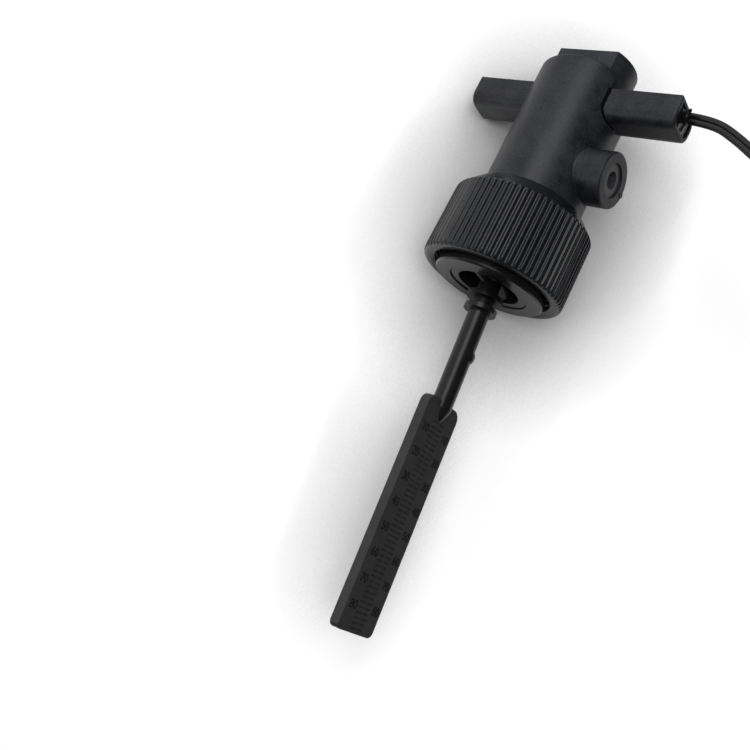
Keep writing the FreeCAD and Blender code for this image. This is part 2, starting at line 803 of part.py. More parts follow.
# Swept pieces: wires and the lead
def path_along(points):
    """Straight runs through the points, joined by tangent arcs as large as the runs allow."""
    edges = []
    radii = []
    last = points[0]
    for before, corner, after in zip(points, points[1:], points[2:]):
        inward = (before - corner).normalize()
        outward = (after - corner).normalize()
        half_turn = (math.pi - inward.getAngle(outward)) / 2
        reach = 0.45 * min((before - corner).Length, (after - corner).Length)
        radius = reach / math.tan(half_turn)
        start = corner + inward * reach
        end = corner + outward * reach
        bisector = (inward + outward).normalize()
        crown = corner + bisector * (radius / math.cos(half_turn) - radius)
        edges.append(Part.LineSegment(last, start).toShape())
        edges.append(Part.Arc(start, crown, end).toShape())
        radii.append(radius)
        last = end
    edges.append(Part.LineSegment(last, points[-1]).toShape())
    return Part.Wire(edges), radii


def add_sweep(label, wire, radius):
    """A round solid along the wire, whose volume has to be its section times its length."""
    first = wire.Edges[0]
    start = first.valueAt(first.FirstParameter)
    along = first.tangentAt(first.FirstParameter)
    profile = Part.Wire([Part.Circle(start, along, radius).toShape()])
    solid = wire.makePipeShell([profile], True, False)
    expected = math.pi * radius**2 * wire.Length
    if abs(solid.Volume - expected) > 0.01 * expected:
        raise RuntimeError(f"{label} is not swept evenly")
    item = doc.addObject("Part::Feature", label)
    item.Label = label
    item.Shape = solid
    item.Placement = FreeCAD.Placement()
    nodes.append(item)


def make_feed_wire():
    y = size("reed_y")
    z = size("reed_z")
    ends = [Vector(size(place), y, z) for place in ("crimp_end", "potting_inner")]
    add_sweep("feed_wire", Part.Wire([Part.LineSegment(*ends).toShape()]), size("core_radius"))


def make_return_wire():
    """From the far crimp, round a half turn and back over the reed to the potting."""
    y = size("reed_y")
    z = size("reed_z")
    bend = size("wire_turn")
    start = -size("crimp_end")
    turn_start = start - 2 * size("core_radius")
    low = Vector(turn_start, y, z)
    outermost = Vector(turn_start - bend, y, z + bend)
    high = Vector(turn_start, y, z + 2 * bend)
    end = Vector(size("potting_inner"), y, z + 2 * bend)
    edges = [
        Part.LineSegment(Vector(start, y, z), low).toShape(),
        Part.Arc(low, outermost, high).toShape(),
        Part.LineSegment(high, end).toShape(),
    ]
    add_sweep("return_wire", Part.Wire(edges), size("core_radius"))


def make_potting_plug():
    body = new_body("potting_plug")
    sketch = new_sketch(body, "section", "YZ_Plane", "potting_inner")
    tube_section(sketch, "tube_wall")
    fill = pad(body, sketch, "fill", "potting_deep")
    round_tube(body, "rounds", fill, "tube_round - tube_wall", size("tube_wall"))


# Lead, wound up beyond its first bend
def coil_frame():
    """The coil's upright plane: its middle, its level direction and the direction through its thickness."""
    centre = Vector(size("coil_middle_x"), size("coil_middle_y"), size("coil_middle_z"))
    bearing = math.radians(size("coil_bearing"))
    level = Vector(math.cos(bearing), math.sin(bearing), 0)
    return centre, level, level.cross(AXIS_Z)


def lead_route():
    """Points chosen by hand, from the potting to the coil, ending where the lead runs into its turns."""
    centre, level, _ = coil_frame()
    slant = size("lead_outer_turn") * math.sqrt(0.5)
    exit_y = size("lead_exit_y")
    return [
        Vector(size("potting_face"), exit_y, size("lead_exit_z")),
        Vector(59.0, -1.6, 85.1),
        Vector(70.0, -1.8, 79.4),
        Vector(81.0, -3.0, 71.8),
        Vector(92.0, -5.5, 65.0),
        Vector(103.0, -9.0, 59.5),
        Vector(114.5, -15.0, 57.5),
        centre - level * slant + AXIS_Z * slant,
    ]


def make_lead():
    wire, radii = path_along(lead_route())
    print("lead bends", [round(radius, 1) for radius in radii], "length", round(wire.Length, 1))
    add_sweep("lead", wire, size("lead_width") / 2)


def place_in_coil(body):
    centre, level, through = coil_frame()
    turned = FreeCAD.Rotation(level, AXIS_Z, through, "XYZ")
    body.Placement = FreeCAD.Placement(centre, turned)


def make_lead_coil():
    body = new_body("lead_coil")
    inner = "coil_radius - coil_half_band"
    outer = "coil_radius + coil_half_band"
    sketch = new_sketch(body, "band_section", "XZ_Plane")
    rectangle(sketch, inner, "-coil_half_thick", outer, "coil_half_thick")
    ring = feature(body, "Revolution", sketch, "ring")
    ring.ReferenceAxis = (sketch, ["V_Axis"])
    ring.Angle = FULL_TURN
    doc.recompute()
    round_edges(body, "band_rounds", ring, "coil_round", lambda edge: isinstance(edge.Curve, Part.Circle))
    place_in_coil(body)


def make_coil_tie():
    """A band round the coil's turns, on the side that the lead comes in."""
    body = new_body("coil_tie")
    sketch = new_sketch(body, "band_section", "XZ_Plane")
    inner = "coil_radius - coil_half_band"
    outer = "coil_radius + coil_half_band"
    outside = "coil_half_thick + tie_thick"
    rectangle(sketch, f"{inner} - tie_thick", f"-({outside})", f"{outer} + tie_thick", outside)
    rectangle(sketch, inner, "-coil_half_thick", outer, "coil_half_thick")
    pad(body, sketch, "band", "2 * tie_half_width", both_ways=True)
    place_in_coil(body)
    spin = FreeCAD.Placement(ORIGIN, FreeCAD.Rotation(AXIS_Z, size("tie_angle")))
    body.Placement = body.Placement.multiply(spin)


def make_lead_ends():
    """The far end's two cores, split and laid along the coil's rim, with tinned tips."""
    centre, level, through = coil_frame()
    ring = size("coil_radius") + size("coil_half_band") + size("core_radius")
    split = math.radians(size("split_angle"))
    core_end = split + size("core_length") / ring
    tip_end = core_end + size("tip_length") / ring
    pieces = (
        ("lead_core", split, core_end, size("core_radius")),
        ("core_tip", core_end, tip_end, size("tip_radius")),
    )
    for label, start, end, radius in pieces:
        for name, offset in (("near", size("core_spread")), ("far", -size("core_spread"))):
            angles = (start, (start + end) / 2, end)
            spokes = [level * math.cos(angle) + AXIS_Z * math.sin(angle) for angle in angles]
            points = [centre + through * offset + spoke * ring for spoke in spokes]
            add_sweep(f"{label}_{name}", Part.Wire([Part.Arc(*points).toShape()]), radius)


make_switch_body()
make_tail_sleeve()
make_tail_seal()
make_pivot_ring()
make_pivot_pin()
make_lever_arm()
make_bush("bush_front", "barrel_reach", False)
make_bush("bush_rear", "-barrel_reach", True)
make_drive_magnet()
make_magnet_cap()
make_paddle()
make_union_nut()
make_adjuster_plug()
make_magnet_carrier()
make_return_magnet()
make_reed_cradle()
make_reed_glass()
make_reed_blade("reed_blade_left", UPPER_REED, True)
make_reed_blade("reed_blade_right", LOWER_REED, False)
make_crimp("crimp_left", UPPER_REED, True)
make_crimp("crimp_right", LOWER_REED, False)
make_feed_wire()
make_return_wire()
make_potting_plug()
make_lead()
make_lead_coil()
make_coil_tie()
make_lead_ends()
doc.recompute()

for item in doc.Objects:
    if "Invalid" in item.State or "Error" in item.State:
        raise RuntimeError(f"{item.Name} failed: {item.State}")
for node in nodes:
    if node.Shape.isNull() or not node.Shape.isValid():
        raise RuntimeError(f"{node.Label} has no valid shape")
    if len(node.Shape.Solids) != 1:
        raise RuntimeError(f"{node.Label} has {len(node.Shape.Solids)} solids")

os.makedirs("parts", exist_ok=True)
for node in nodes:
    node.Shape.exportStep(f"parts/{node.Label}.step")
print(len(nodes), "pieces written")
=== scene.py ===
"""Paddle flow switch: finishes, ribbed nut, twin lead, resin and ruler, on a white sweep."""

import math

import bpy
from mathutils import Matrix, Vector, noise


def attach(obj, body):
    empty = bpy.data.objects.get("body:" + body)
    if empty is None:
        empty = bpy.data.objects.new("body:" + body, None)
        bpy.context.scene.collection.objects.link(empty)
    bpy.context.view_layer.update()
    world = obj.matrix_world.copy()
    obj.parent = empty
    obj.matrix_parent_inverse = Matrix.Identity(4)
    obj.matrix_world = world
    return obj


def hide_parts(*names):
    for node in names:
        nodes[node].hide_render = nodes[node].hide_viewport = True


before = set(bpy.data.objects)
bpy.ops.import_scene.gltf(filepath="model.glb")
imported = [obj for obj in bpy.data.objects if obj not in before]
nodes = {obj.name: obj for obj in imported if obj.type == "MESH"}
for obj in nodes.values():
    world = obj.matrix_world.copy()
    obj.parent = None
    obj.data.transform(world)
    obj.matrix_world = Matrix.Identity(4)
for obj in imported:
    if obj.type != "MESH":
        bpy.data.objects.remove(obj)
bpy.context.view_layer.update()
scene = bpy.context.scene
scene.view_settings.view_transform = "Standard"

MM = 0.001
FULL_TURN = 2 * math.pi
UP = Vector((0, 0, 1))
SQUARE = ((-1, -1), (1, -1), (1, 1), (-1, 1))

# Camera, at the photograph's angle
BEARING = math.radians(38.53)
ELEVATION = math.radians(-8.94)
ROLL = math.radians(27.09)
CAMERA_PLACE = Vector((205.76, -297.34, -108.26)) * MM
CAMERA_LENS = 45.08
SENSOR_WIDTH = 36
CLIP_START = 0.01
CLIP_END = 50

TOWARDS = Vector((
    math.sin(BEARING) * math.cos(ELEVATION),
    -math.cos(BEARING) * math.cos(ELEVATION),
    math.sin(ELEVATION),
))
LEVEL = Vector((math.cos(BEARING), math.sin(BEARING), 0))
RISE = TOWARDS.cross(LEVEL)
IMAGE_RIGHT = LEVEL * math.cos(ROLL) + RISE * math.sin(ROLL)
IMAGE_UP = RISE * math.cos(ROLL) - LEVEL * math.sin(ROLL)


def facing(place, right, up, towards):
    """A transform whose local axes are right, up and towards the viewer."""
    turned = Matrix((right, up, towards)).transposed().to_4x4()
    turned.translation = place
    return turned


def add_camera():
    data = bpy.data.cameras.new("photo_camera")
    data.lens = CAMERA_LENS
    data.sensor_width = SENSOR_WIDTH
    data.clip_start = CLIP_START
    data.clip_end = CLIP_END
    camera = bpy.data.objects.new("photo_camera", data)
    camera.matrix_world = facing(CAMERA_PLACE, IMAGE_RIGHT, IMAGE_UP, TOWARDS)
    scene.collection.objects.link(camera)
    scene.camera = camera


# Meshes
def smoothstep(low, high, amount):
    share = min(1.0, max(0.0, (amount - low) / (high - low)))
    return share * share * (3 - 2 * share)


def add_mesh(name, points, faces, material, smooth=True):
    """A mesh piece from points in millimetres."""
    mesh = bpy.data.meshes.new(name)
    mesh.from_pydata([tuple(Vector(point) * MM) for point in points], [], faces)
    mesh.materials.append(material)
    mesh.polygons.foreach_set("use_smooth", [smooth] * len(mesh.polygons))
    mesh.update()
    piece = bpy.data.objects.new(name, mesh)
    scene.collection.objects.link(piece)
    return piece


def ring_faces(rings, count, first=0):
    """Quads between rings of count points each."""
    faces = []
    for row in range(rings - 1):
        low = first + row * count
        high = low + count
        for column in range(count):
            following = (column + 1) % count
            faces.append((low + column, low + following, high + following, high + column))
    return faces


# Materials
BEVEL_SAMPLES = 4
SHADE_SAMPLES = 8
PATCH_LOW = 0.3
PATCH_HIGH = 0.7


class Nodes:
    """A node tree in the making."""

    def __init__(self, tree):
        self.tree = tree

    def node(self, kind, **inputs):
        """A node of a kind, with an underscore for each space in the names of its inputs."""
        made = self.tree.nodes.new(kind)
        for socket, amount in inputs.items():
            self.feed(made.inputs[socket.replace("_", " ")], amount)
        return made

    def feed(self, socket, amount):
        """Join a socket to another one, or set it to a value."""
        if isinstance(amount, bpy.types.NodeSocket):
            self.tree.links.new(amount, socket)
        else:
            socket.default_value = amount

    def math(self, operation, *amounts):
        made = self.tree.nodes.new("ShaderNodeMath")
        made.operation = operation
        for socket, amount in zip(made.inputs, amounts):
            self.feed(socket, amount)
        return made.outputs["Value"]

    def along(self, place, direction):
        """How far a place lies along a direction."""
        made = self.tree.nodes.new("ShaderNodeVectorMath")
        made.operation = "DOT_PRODUCT"
        self.feed(made.inputs[0], place)
        made.inputs[1].default_value = direction
        return made.outputs["Value"]

    def between(self, share, low, high, start=0.0, stop=1.0):
        """A value that goes from low to high while share goes from start to stop."""
        made = self.node("ShaderNodeMapRange", Value=share, From_Min=start, From_Max=stop)
        self.feed(made.inputs["To Min"], low)
        self.feed(made.inputs["To Max"], high)
        return made.outputs["Result"]

    def ramp(self, share, *stops):
        """A colour from stops that each give a share and its colour."""
        made = self.node("ShaderNodeValToRGB", Fac=share)
        elements = made.color_ramp.elements
        while len(elements) < len(stops):
            elements.new(0.5)
        for element, (place, colour) in zip(elements, stops):
            element.position = place
            element.color = (*colour, 1)
        return made.outputs["Color"]

    def ray_is(self, *kinds):
        """1 for rays of these kinds, and 0 for all other light."""
        path = self.node("ShaderNodeLightPath")
        found = path.outputs[f"Is {kinds[0]} Ray"]
        for kind in kinds[1:]:
            found = self.math("MAXIMUM", found, path.outputs[f"Is {kind} Ray"])
        return found


class Finish(Nodes):
    """A node material in the making: its shader and the pieces that feed it."""

    def __init__(self, name, roughness=0.4, ior=1.5, metallic=0.0, **sockets):
        self.material = bpy.data.materials.new(name)
        self.material.use_nodes = True
        super().__init__(self.material.node_tree)
        self.shader = self.tree.nodes["Principled BSDF"]
        self.shader.inputs["Roughness"].default_value = roughness
        self.shader.inputs["IOR"].default_value = ior
        self.shader.inputs["Metallic"].default_value = metallic
        for socket, amount in sockets.items():
            self.shader.inputs[socket.replace("_", " ")].default_value = amount
        self.place = self.node("ShaderNodeTexCoord").outputs["Object"]

    def noise(self, size_mm, detail=3.0, roughness=0.55, stretch=(1, 1, 1)):
        """Noise whose patches are about size_mm across, drawn out along the axes by stretch."""
        scale = [1 / share for share in stretch]
        spread = self.node("ShaderNodeMapping", Vector=self.place, Scale=scale)
        made = self.node("ShaderNodeTexNoise", Vector=spread.outputs["Vector"], Scale=1 / (size_mm * MM))
        made.inputs["Detail"].default_value = detail
        made.inputs["Roughness"].default_value = roughness
        return made.outputs["Fac"]

    def measured(self, start, direction):
        """Distance in metres from start along a direction."""
        return self.math("SUBTRACT", self.along(self.place, direction), start.dot(direction))

    def colour(self, source):
        self.feed(self.shader.inputs["Base Color"], source)

    def patched(self, patches, dark, light):
        """Colour that goes from dark to light over the patches of a noise."""
        self.colour(self.ramp(patches, (PATCH_LOW, dark), (PATCH_HIGH, light)))

    def roughness(self, source):
        self.feed(self.shader.inputs["Roughness"], source)

    def relief(self, *layers, edge=0.25):
        """Bumps over a rounded edge, each a height source, its strength and its depth in millimetres."""
        rounded = self.node("ShaderNodeBevel", Radius=edge * MM)
        rounded.samples = BEVEL_SAMPLES
        normal = rounded.outputs["Normal"]
        for source, strength, depth in layers:
            bump = self.node("ShaderNodeBump", Height=source, Normal=normal)
            bump.inputs["Strength"].default_value = strength
            bump.inputs["Distance"].default_value = depth * MM
            normal = bump.outputs["Normal"]
        self.feed(self.shader.inputs["Normal"], normal)


# Mouldings: sizes and depths in millimetres of their specks, tooth and clouds
SPECK_SIZE = 0.55
SPECK_DEPTH = 0.05
TOOTH_SIZE = 3.5
TOOTH_DEPTH = 0.12
CLOUD_SIZE = 9
DARK_SPECKS = 0.38
LIGHT_SPECKS = 0.62
SHINIER = 0.05
DULLER = 0.07

# Paddle at rest: its pivot, the way down the blade and out of its face, and distances from the pivot
PIVOT = Vector((0, 0, 5.5))
REST_ANGLE = math.radians(5.15)
BLADE_DOWN = Vector((math.sin(REST_ANGLE), 0, -math.cos(REST_ANGLE)))
BLADE_OUT = Vector((math.cos(REST_ANGLE), 0, math.sin(REST_ANGLE)))
BLADE_FACE = 1.9
BLADE_MIDDLE = -0.2
BLADE_TOP = 55.3
STEM_PROUD = 0.15
STEM_DARKER = 0.3
STEM_ROUGHNESS = 0.24

# Nick in the front of the body, along its axis, darkened with painted shade
NICK_MIDDLE = Vector((-1.1, -20.9, 72.0))
NICK_HALF_WIDTH = 0.8
NICK_HALF_LENGTH = 2.6
NICK_DEPTH = 0.3
NICK_PAINTED_SHADE = 4.0
BODY_SPECK_SIZE = 0.6

# Other materials: sizes in millimetres of their patches, grain, streaks and ripples
RUBBER_PATCH = 1.2
RUBBER_GRAIN = 0.3
METAL_STREAK = 0.4
GLASS_PATCH = 4
RESIN_FLOW = 1.6


def speckled(finish, fine):
    """Fine specks over clouds, and the clouds alone."""
    cloud = finish.noise(CLOUD_SIZE, detail=4)
    return finish.math("MULTIPLY", finish.math("ADD", fine, cloud), 0.5), cloud


def clouded(finish, dark, light, fine):
    """A cloudy black with fine specks; returns its cloud."""
    share, cloud = speckled(finish, fine)
    finish.colour(finish.ramp(share, (DARK_SPECKS, dark), (LIGHT_SPECKS, light)))
    return cloud


def moulded(name, dark, light, roughness, grain=0.35, edge=0.25, tooth=0.5, specular=0.5):
    """A moulded plastic with fine specks and tooth, and gloss that comes and goes."""
    finish = Finish(name, Specular_IOR_Level=specular)
    fine = finish.noise(SPECK_SIZE, detail=2)
    cloud = clouded(finish, dark, light, fine)
    gloss = finish.between(cloud, roughness - SHINIER, roughness + DULLER, PATCH_LOW, PATCH_HIGH)
    finish.roughness(gloss)
    coarse = finish.noise(TOOTH_SIZE, detail=2)
    finish.relief((fine, grain, SPECK_DEPTH), (coarse, tooth, TOOTH_DEPTH), edge=edge)
    return finish.material


def nick_share(finish):
    """1 in the middle of the nick, falling to 0 at its sides and ends."""
    share = finish.math("LESS_THAN", finish.measured(Vector(), Vector((0, 1, 0))), 0.0)
    for axis, half in ((Vector((1, 0, 0)), NICK_HALF_WIDTH), (UP, NICK_HALF_LENGTH)):
        away = finish.math("ABSOLUTE", finish.measured(NICK_MIDDLE * MM, axis))
        share = finish.math("MULTIPLY", share, finish.between(away, 1.0, 0.0, 0.0, half * MM))
    return share


def body_finish():
    """The body's nylon, with coarse specks, a cloudy sheen and a nick darkened with painted shade."""
    finish = Finish("body_nylon", Specular_IOR_Level=0.4)
    nick = nick_share(finish)
    # Painted shade: the specks are darkened inside the nick
    nick_shade = finish.math("MULTIPLY", nick, NICK_PAINTED_SHADE)
    fine = finish.math("SUBTRACT", finish.noise(BODY_SPECK_SIZE, detail=2), nick_shade)
    cloud = clouded(finish, (0.0045, 0.0048, 0.0062), (0.0250, 0.0262, 0.0315), fine)
    finish.roughness(finish.between(cloud, 0.34, 0.46, PATCH_LOW, PATCH_HIGH))
    coarse = finish.noise(TOOTH_SIZE, detail=2)
    sunk = finish.math("SUBTRACT", 1.0, nick)
    finish.relief((fine, 0.6, SPECK_DEPTH), (coarse, 0.4, TOOTH_DEPTH), (sunk, 1.0, NICK_DEPTH))
    return finish.material


def stem_share(finish):
    """1 on the paddle's stem and collar, and 0 on its blade."""
    middle = PIVOT + BLADE_OUT * BLADE_MIDDLE
    above = finish.math("LESS_THAN", finish.measured(PIVOT * MM, BLADE_DOWN), BLADE_TOP * MM)
    depth = finish.math("ABSOLUTE", finish.measured(middle * MM, BLADE_OUT))
    proud = finish.math("GREATER_THAN", depth, (BLADE_FACE - BLADE_MIDDLE + STEM_PROUD) * MM)
    return finish.math("MAXIMUM", above, proud)


def paddle_finish():
    """The paddle's nylon: a matt blade with satin edges, and a polished stem."""
    finish = Finish("paddle_nylon", Specular_IOR_Level=0.32)
    fine = finish.noise(SPECK_SIZE, detail=2)
    stem = stem_share(finish)
    specks, _ = speckled(finish, fine)
    tone = finish.math("SUBTRACT", specks, finish.math("MULTIPLY", stem, STEM_DARKER))
    finish.colour(finish.ramp(
        tone,
        (0.08, (0.0060, 0.0060, 0.0063)),
        (0.32, (0.0120, 0.0121, 0.0126)),
        (DARK_SPECKS, (0.0235, 0.0235, 0.0239)),
        (LIGHT_SPECKS, (0.0355, 0.0356, 0.0363)),
    ))
    normal = finish.node("ShaderNodeTexCoord").outputs["Normal"]
    across = finish.node("ShaderNodeSeparateXYZ", Vector=normal).outputs["X"]
    blade = finish.between(finish.math("ABSOLUTE", across), 0.40, 0.74, 0.8, 0.95)
    finish.roughness(finish.between(stem, blade, STEM_ROUGHNESS))
    finish.relief((fine, 0.3, 0.04), (finish.noise(TOOTH_SIZE, detail=2), 0.3, 0.1))
    return finish.material


def rubbery(name, dark, light, roughness):
    finish = Finish(name)
    patches = finish.noise(RUBBER_PATCH)
    finish.patched(patches, dark, light)
    finish.roughness(finish.between(patches, roughness, roughness + 0.15))
    finish.relief((finish.noise(RUBBER_GRAIN), 0.3, 0.04))
    return finish.material


def metal(name, dark, light, roughness, stretch=(1, 1, 1)):
    finish = Finish(name, metallic=1.0)
    streaks = finish.noise(METAL_STREAK, stretch=stretch)
    finish.patched(streaks, dark, light)
    finish.roughness(finish.between(streaks, roughness, roughness + 0.2))
    finish.relief((streaks, 0.2, 0.02))
    return finish.material


def glass(name, dark, light):
    finish = Finish(name, roughness=0.03, ior=1.49, Transmission_Weight=1.0)
    patches = finish.noise(GLASS_PATCH)
    finish.patched(patches, dark, light)
    finish.relief((patches, 0.1, 0.02))
    return finish.material


def resin_finish():
    """Cast epoxy: wet black, with flow ripples."""
    finish = Finish("potting_resin", Specular_IOR_Level=0.3)
    flow = finish.noise(RESIN_FLOW, detail=2)
    finish.colour(finish.ramp(flow, (0.3, (0.003, 0.003, 0.003)), (0.75, (0.009, 0.009, 0.010))))
    finish.roughness(finish.between(flow, 0.10, 0.24, PATCH_LOW, PATCH_HIGH))
    finish.relief((flow, 0.5, 0.3), edge=0.1)
    return finish.material


FINISHES = {
    "body": body_finish(),
    "nut": moulded(
        "nut_nylon", (0.0050, 0.0053, 0.0066), (0.0110, 0.0117, 0.0140), 0.24,
        grain=0.2, tooth=0.2, specular=0.4,
    ),
    "tail": moulded(
        "tail_nylon", (0.0050, 0.0050, 0.0053), (0.0100, 0.0100, 0.0105), 0.20,
        grain=0.15, tooth=0.2,
    ),
    "paddle": paddle_finish(),
    "plug": moulded(
        "plug_nylon", (0.034, 0.0345, 0.037), (0.048, 0.0487, 0.052), 0.34,
        tooth=0.2, specular=0.45,
    ),
    "lever": moulded(
        "lever_nylon", (0.0030, 0.0030, 0.0033), (0.0070, 0.0070, 0.0075), 0.35,
        specular=0.25,
    ),
    # Near-black matte finish of the strip of painted shade in the tube's root
    "root_shade": moulded(
        "painted_root_shade", (0.0015, 0.0015, 0.0017), (0.004, 0.004, 0.0044), 0.8,
        edge=0.05, specular=0.02,
    ),
    "numbers": moulded(
        "ruler_marks", (0.0085, 0.0085, 0.0087), (0.0125, 0.0125, 0.0129), 0.8,
        edge=0.05, specular=0.12,
    ),
    "ticks": moulded(
        "tick_marks", (0.0155, 0.0155, 0.0157), (0.0205, 0.0205, 0.0209), 0.8,
        edge=0.05, specular=0.2,
    ),
    "bush": moulded("bush_acetal", (0.62, 0.60, 0.55), (0.74, 0.72, 0.67), 0.35),
    "insulator": moulded("cradle_plastic", (0.55, 0.50, 0.40), (0.66, 0.61, 0.50), 0.45),
    "tie": moulded("tie_nylon", (0.014, 0.014, 0.015), (0.024, 0.024, 0.026), 0.38),
    "seal": rubbery("seal_rubber", (0.008, 0.008, 0.008), (0.018, 0.018, 0.018), 0.55),
    "sleeve": rubbery("lead_sleeve", (0.004, 0.004, 0.005), (0.009, 0.009, 0.011), 0.18),
    "steel": metal("pin_steel", (0.48, 0.48, 0.49), (0.66, 0.66, 0.67), 0.22, (1, 8, 1)),
    "magnet": metal("magnet_plating", (0.34, 0.34, 0.36), (0.50, 0.50, 0.52), 0.28),
    "reed": metal("reed_alloy", (0.52, 0.50, 0.47), (0.70, 0.68, 0.64), 0.25, (8, 1, 1)),
    "brass": metal("crimp_brass", (0.52, 0.38, 0.16), (0.72, 0.55, 0.26), 0.28),
    "tinned": metal("tinned_copper", (0.50, 0.49, 0.47), (0.72, 0.71, 0.69), 0.3, (1, 1, 6)),
    "glass": glass("reed_glass", (0.80, 0.90, 0.82), (0.9, 0.95, 0.9)),
    "resin": resin_finish(),
}

NODE_FINISHES = {
    "switch_body": "body",
    "tail_sleeve": "tail",
    "tail_seal": "seal",
    "pivot_ring": "tail",
    "pivot_pin": "steel",
    "lever_arm": "lever",
    "bush_front": "bush",
    "bush_rear": "bush",
    "drive_magnet": "magnet",
    "magnet_cap": "lever",
    "paddle": "paddle",
    "union_nut": "nut",
    "adjuster_plug": "plug",
    "magnet_carrier": "lever",
    "return_magnet": "magnet",
    "reed_cradle": "insulator",
    "reed_glass": "glass",
    "reed_blade_left": "reed",
    "reed_blade_right": "reed",
    "crimp_left": "brass",
    "crimp_right": "brass",
    "feed_wire": "sleeve",
    "return_wire": "sleeve",
    "potting_plug": "resin",
    "lead": "sleeve",
    "lead_coil": "sleeve",
    "coil_tie": "tie",
    "lead_core_near": "sleeve",
    "lead_core_far": "sleeve",
    "core_tip_near": "tinned",
    "core_tip_far": "tinned",
}


def dress_nodes():
    for name, finish in NODE_FINISHES.items():
        mesh = nodes[name].data
        mesh.materials.clear()
        mesh.materials.append(FINISHES[finish])


# Twin lead: its route, then the coil that the far length is put away in
LEAD_EXIT = (47.6, -1.6, 85.7)
LEAD_POINTS = [
    LEAD_EXIT,
    (59, -1.6, 85.1),
    (70, -1.8, 79.4),
    (81, -3, 71.8),
    (92, -5.5, 65),
    (103, -9, 59.5),
    (114.5, -15.0, 57.5),
]
LEAD_WIDTH = 4.8
LEAD_RESOLUTION = 10
STRAND_RADIUS = 1.23
STRAND_SIDES = 12
STRANDS_TURN = (50, 110)
COIL_MIDDLE = Vector((121.0, -7.3, 31.0))
COIL_BEARING = math.radians(125)
COIL_LEVEL = Vector((math.cos(COIL_BEARING), math.sin(COIL_BEARING), 0))
COIL_THROUGH = COIL_LEVEL.cross(UP)
COIL_ENTRY = math.radians(135)
COIL_END = math.radians(180)
COIL_JOG = math.radians(60)
POINTS_PER_TURN = 16
COIL_SLOTS = [(28.8, -2.5), (24, -2.5), (19.2, -2.5), (19.2, 2.5), (24, 2.5), (28.8, 2.5)]
COIL_LAST = (32.0, 0.0)
COIL_LAST_LIFT = (-0.3, 0.7)
COIL_LAST_MOVE = (0.2, 1)
SPLINE_INSET = math.cos(math.pi / POINTS_PER_TURN)


def in_coil(angle, radius, side):
    across = COIL_LEVEL * math.cos(angle) + UP * math.sin(angle)
    return COIL_MIDDLE + across * radius + COIL_THROUGH * side


def coil_slot(wound):
    """Radius and side of the winding after wound radians, with a jog to the next slot as a turn ends."""
    turn = min(int(wound / FULL_TURN), len(COIL_SLOTS) - 1)
    radius, side = COIL_SLOTS[turn]
    left = (turn + 1) * FULL_TURN - wound
    if turn + 1 < len(COIL_SLOTS):
        next_radius, next_side = COIL_SLOTS[turn + 1]
        lifted = smoothstep(0, COIL_JOG, COIL_JOG - left)
        moved = lifted
    else:
        next_radius, next_side = COIL_LAST
        past = -left / (COIL_END - COIL_ENTRY)
        lifted = smoothstep(*COIL_LAST_LIFT, past)
        moved = smoothstep(*COIL_LAST_MOVE, past)
    return radius + (next_radius - radius) * lifted, side + (next_side - side) * moved


def lead_route():
    points = [Vector(point) for point in LEAD_POINTS]
    whole = len(COIL_SLOTS) * FULL_TURN + COIL_END - COIL_ENTRY
    steps = round(whole / FULL_TURN * POINTS_PER_TURN)
    for step in range(steps + 1):
        wound = whole * step / steps
        radius, side = coil_slot(wound)
        points.append(in_coil(COIL_ENTRY + wound, radius / SPLINE_INSET, side))
    return points


def spline_line(points):
    """Points along the NURBS spline that has these control points, in millimetres."""
    data = bpy.data.curves.new("lead_line", "CURVE")
    data.dimensions = "3D"
    data.resolution_u = LEAD_RESOLUTION
    spline = data.splines.new("NURBS")
    spline.points.add(len(points) - 1)
    for control, point in zip(spline.points, points):
        control.co = (*(point * MM), 1)
    spline.order_u = 3
    spline.use_endpoint_u = True
    line = bpy.data.objects.new("lead_line", data)
    scene.collection.objects.link(line)
    mesh = bpy.data.meshes.new_from_object(line)
    found = [vertex.co / MM for vertex in mesh.vertices]
    bpy.data.objects.remove(line)
    bpy.data.curves.remove(data)
    bpy.data.meshes.remove(mesh)
    return found


def strand_directions(line):
    """For each point the way along and the way across the strands, which turn to the coil's side."""
    runs = [0.0]
    for first, second in zip(line, line[1:]):
        runs.append(runs[-1] + (second - first).length)
    directions = []
    for index, run in enumerate(runs):
        ahead = line[min(index + 1, len(line) - 1)]
        behind = line[max(index - 1, 0)]
        along = (ahead - behind).normalized()
        seen = along.cross(TOWARDS).normalized()
        across = seen.lerp(-COIL_THROUGH, smoothstep(*STRANDS_TURN, run))
        across = (across - along * across.dot(along)).normalized()
        directions.append((along, across))
    return directions


def add_lead():
    line = spline_line(lead_route())
    directions = strand_directions(line)
    points = []
    faces = []
    for side in (-1, 1):
        first = len(points)
        for place, (along, across) in zip(line, directions):
            middle = place + across * side * (LEAD_WIDTH / 2 - STRAND_RADIUS)
            out = along.cross(across)
            for corner in range(STRAND_SIDES):
                angle = FULL_TURN * corner / STRAND_SIDES
                spoke = across * math.cos(angle) + out * math.sin(angle)
                points.append(middle + spoke * STRAND_RADIUS)
        faces += ring_faces(len(line), STRAND_SIDES, first=first)
        faces.append(tuple(range(first, first + STRAND_SIDES))[::-1])
        faces.append(tuple(range(len(points) - STRAND_SIDES, len(points))))
    lead = add_mesh("twin_lead", points, faces, FINISHES["sleeve"])
    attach(lead, "housing")
    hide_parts("lead", "lead_coil")


